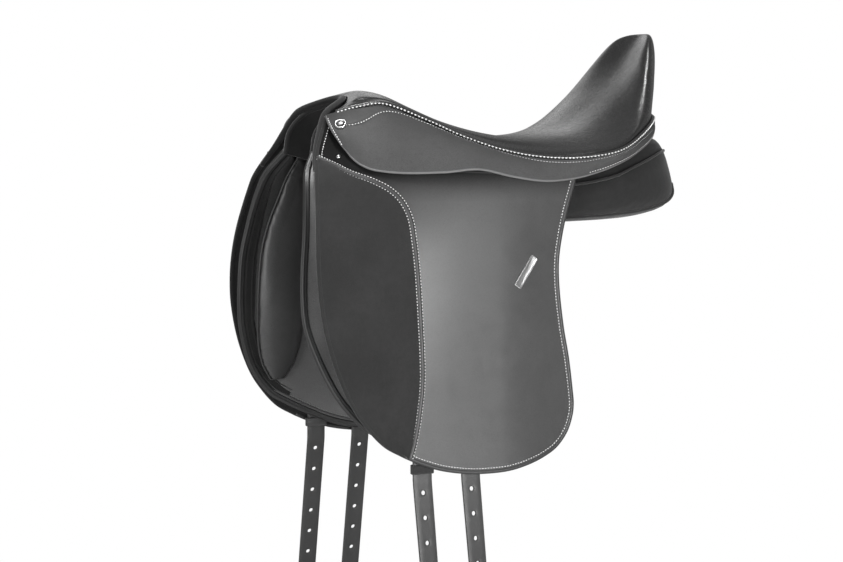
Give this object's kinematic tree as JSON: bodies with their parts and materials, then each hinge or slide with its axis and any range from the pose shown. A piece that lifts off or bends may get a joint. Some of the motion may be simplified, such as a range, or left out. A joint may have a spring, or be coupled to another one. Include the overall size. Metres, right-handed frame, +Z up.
{
  "type": "english saddle",
  "caption": "English dressage saddle with a deep seat, lifting skirts and long straight flaps over sweat flaps, padded panels, stirrup bars and long hanging billets.",
  "frame": {"origin": "on the centre plane between the two panels, at the height where they bear on a horse's back or a rack", "axes": "+X towards the pommel, +Y to the rider's left, +Z up"},
  "size_m": [0.489, 0.4142, 0.7604],
  "materials": {
    "flap_leather": "smooth semi-matt synthetic leather",
    "seat_leather": "fine grained, slightly glossy synthetic leather",
    "skirt_leather": "smooth semi-matt synthetic leather",
    "suede": "matt synthetic suede",
    "strap_leather": "smooth strap leather",
    "keeper_web": "woven webbing",
    "steel": "satin steel",
    "silver": "satin plated metal",
    "tree_plastic": "moulded plastic",
    "foam": "closed-cell foam"
  },
  "bodies": {
    "base": {"saddle_tree": "tree_plastic", "gullet_plate": "steel", "seat_foam": "foam", "seat_cover": "seat_leather", "gullet_lining": "suede", "seat_welt_left": "skirt_leather", "skirt_head_left": "skirt_leather", "pommel_button_left": "silver", "flap_head_left": "flap_leather", "flap_stud_left": "silver", "knee_block_left": "foam", "sweat_flap_left": "flap_leather", "panel_left": "suede", "panel_leaf_left": "flap_leather", "stirrup_bar_left": "steel", "catch_pin_left": "steel", "bar_rivet_front_left": "steel", "bar_rivet_rear_left": "steel", "billet_front_left": "strap_leather", "billet_rear_left": "strap_leather", "keeper_front_left": "keeper_web", "keeper_rear_left": "keeper_web", "seat_welt_right": "skirt_leather", "skirt_head_right": "skirt_leather", "pommel_button_right": "silver", "flap_head_right": "flap_leather", "flap_stud_right": "silver", "knee_block_right": "foam", "sweat_flap_right": "flap_leather", "panel_right": "suede", "panel_leaf_right": "flap_leather", "stirrup_bar_right": "steel", "catch_pin_right": "steel", "bar_rivet_front_right": "steel", "bar_rivet_rear_right": "steel", "billet_front_right": "strap_leather", "billet_rear_right": "strap_leather", "keeper_front_right": "keeper_web", "keeper_rear_right": "keeper_web"},
    "flap_left": {"flap_left": "flap_leather", "knee_patch_left": "suede", "flap_badge_left": "silver"},
    "skirt_left": {"skirt_left": "skirt_leather"},
    "bar_catch_left": {"bar_catch_left": "steel"},
    "billet_tail_front_left": {"billet_tail_front_left": "strap_leather"},
    "billet_tail_rear_left": {"billet_tail_rear_left": "strap_leather"},
    "flap_right": {"flap_right": "flap_leather", "knee_patch_right": "suede", "flap_badge_right": "silver"},
    "skirt_right": {"skirt_right": "skirt_leather"},
    "bar_catch_right": {"bar_catch_right": "steel"},
    "billet_tail_front_right": {"billet_tail_front_right": "strap_leather"},
    "billet_tail_rear_right": {"billet_tail_rear_right": "strap_leather"}
  },
  "joints": [
    {"name": "flap_lift_left", "type": "hinge", "parent": "base", "child": "flap_left", "pos_m": [0, 0.1419, 0.033], "axis": [0.9928, -0.1197, 0], "range_deg": [0, 70]},
    {"name": "skirt_lift_left", "type": "hinge", "parent": "base", "child": "skirt_left", "pos_m": [0, 0.1185, 0.0742], "axis": [0.9626, -0.232, 0.1402], "range_deg": [0, 55]},
    {"name": "bar_catch_turn_left", "type": "hinge", "parent": "base", "child": "bar_catch_left", "pos_m": [0.023, 0.1056, 0.064], "axis": [0, -1, 0], "range_deg": [0, 90]},
    {"name": "billet_swing_front_left", "type": "hinge", "parent": "base", "child": "billet_tail_front_left", "pos_m": [0.07, 0.152, -0.286], "axis": [1, 0, 0], "range_deg": [-20, 35]},
    {"name": "billet_swing_rear_left", "type": "hinge", "parent": "base", "child": "billet_tail_rear_left", "pos_m": [0.012, 0.152, -0.286], "axis": [1, 0, 0], "range_deg": [-20, 35]},
    {"name": "flap_lift_right", "type": "hinge", "parent": "base", "child": "flap_right", "pos_m": [0, -0.1419, 0.033], "axis": [-0.9928, -0.1197, 0], "range_deg": [0, 70]},
    {"name": "skirt_lift_right", "type": "hinge", "parent": "base", "child": "skirt_right", "pos_m": [0, -0.1185, 0.0742], "axis": [-0.9626, -0.232, -0.1402], "range_deg": [0, 55]},
    {"name": "bar_catch_turn_right", "type": "hinge", "parent": "base", "child": "bar_catch_right", "pos_m": [0.023, -0.1056, 0.064], "axis": [0, -1, 0], "range_deg": [0, 90]},
    {"name": "billet_swing_front_right", "type": "hinge", "parent": "base", "child": "billet_tail_front_right", "pos_m": [0.07, -0.152, -0.286], "axis": [-1, 0, 0], "range_deg": [-20, 35]},
    {"name": "billet_swing_rear_right", "type": "hinge", "parent": "base", "child": "billet_tail_rear_right", "pos_m": [0.012, -0.152, -0.286], "axis": [-1, 0, 0], "range_deg": [-20, 35]}
  ]
}
